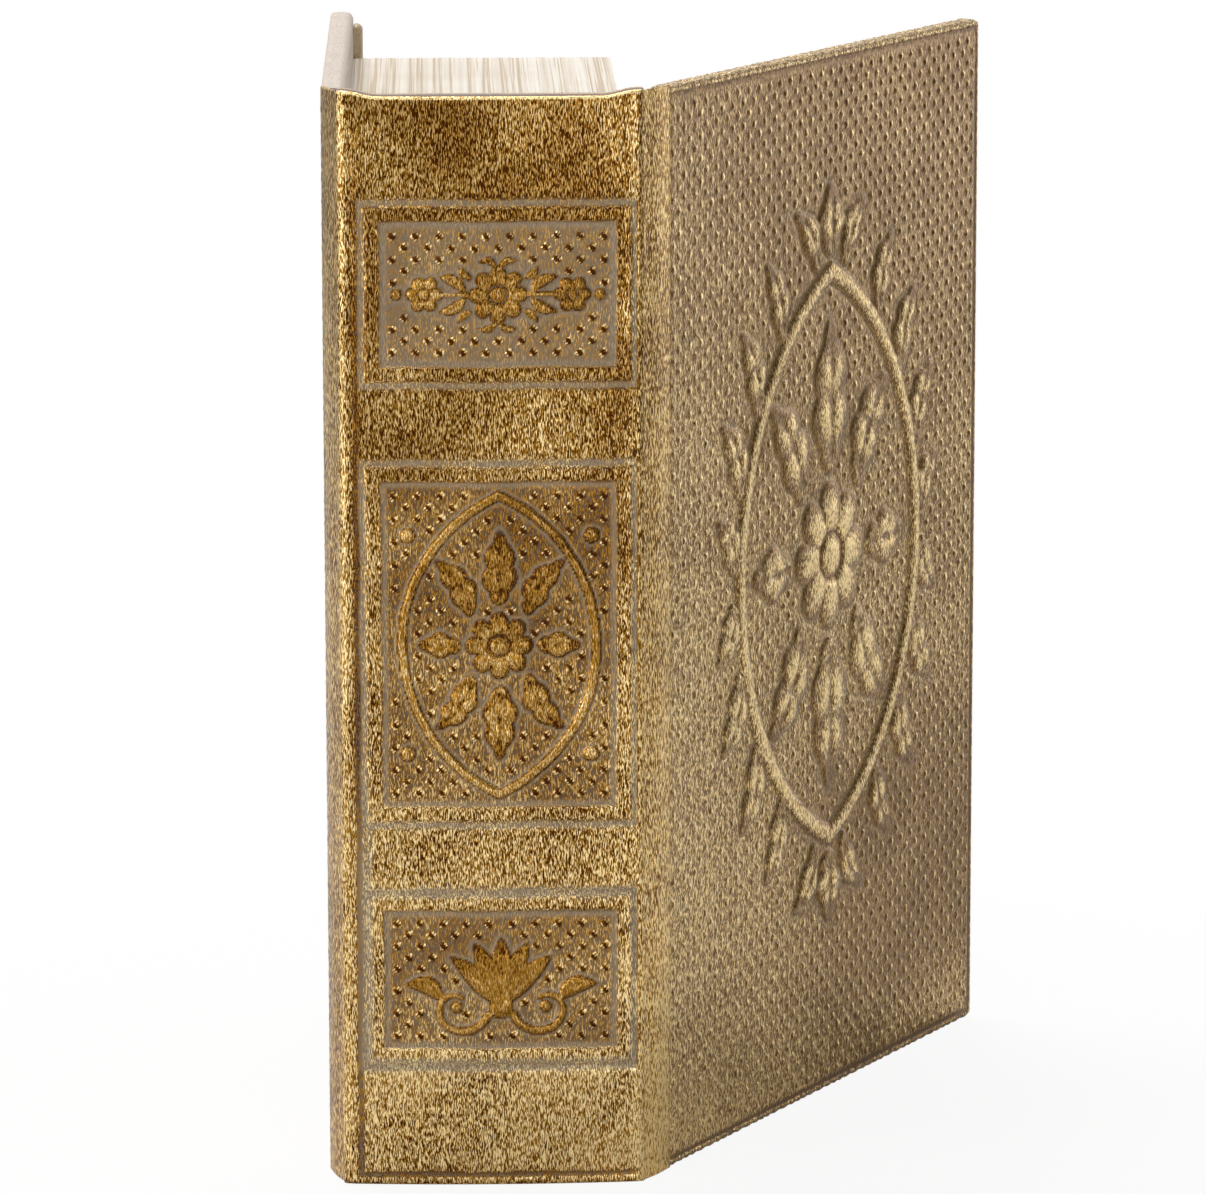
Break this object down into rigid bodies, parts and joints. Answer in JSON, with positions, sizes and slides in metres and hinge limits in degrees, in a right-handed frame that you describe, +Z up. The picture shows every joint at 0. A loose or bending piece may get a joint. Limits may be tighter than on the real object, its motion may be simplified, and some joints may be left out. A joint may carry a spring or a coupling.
{
  "type": "book-shaped box",
  "caption": "Hinged storage box shaped like a hardback book: leather-covered covers and stiff spine, page-effect tray on the back cover, front cover opens as the lid.",
  "frame": {"origin": "middle of the spine's foot, on the surface that the box stands on", "axes": "+Z up along the spine, -Y out of the spine's face, +X from the back cover to the front cover"},
  "size_m": [0.1643, 0.1815, 0.26],
  "materials": {
    "cover_leather": "antiqued gold crinkle leatherette with pressed dots and ornament",
    "spine_leather": "antiqued gold crinkle leatherette, brighter, with pressed frames",
    "board": "raw fibreboard",
    "card": "plain grey card",
    "page_paper": "cream paper with fine beige and grey leaf lines",
    "lining_cloth": "dark brown short-pile lining",
    "magnet": "bright nickel plating",
    "steel": "plain sheet steel"
  },
  "bodies": {
    "case": {"back_cover_board": "board", "back_cover_leather": "cover_leather", "back_cover_infill": "card", "back_fore_edge_roll": "cover_leather", "back_joint_leather": "spine_leather", "spine_board": "board", "spine_leather": "spine_leather", "spine_infill": "card", "tray_floor": "board", "head_wall": "board", "tail_wall": "board", "fore_edge_wall": "board", "spine_side_wall": "board", "page_edge_paper": "page_paper", "rim_paper": "page_paper", "floor_lining": "lining_cloth", "wall_lining": "lining_cloth", "closure_magnets": "magnet", "hinge_leather": "spine_leather", "hinge_lining": "lining_cloth"},
    "front_cover": {"front_cover_board": "board", "front_cover_leather": "cover_leather", "front_cover_infill": "card", "front_cover_lining": "lining_cloth", "front_fore_edge_roll": "cover_leather", "keeper_plates": "steel"}
  },
  "joints": [
    {"name": "front_cover_hinge", "type": "hinge", "parent": "case", "child": "front_cover", "pos_m": [0.038, 0.0047, 0.13], "axis": [0, 0, -1], "range_deg": [-30, 150], "deforming": ["hinge_leather", "hinge_lining"]}
  ]
}
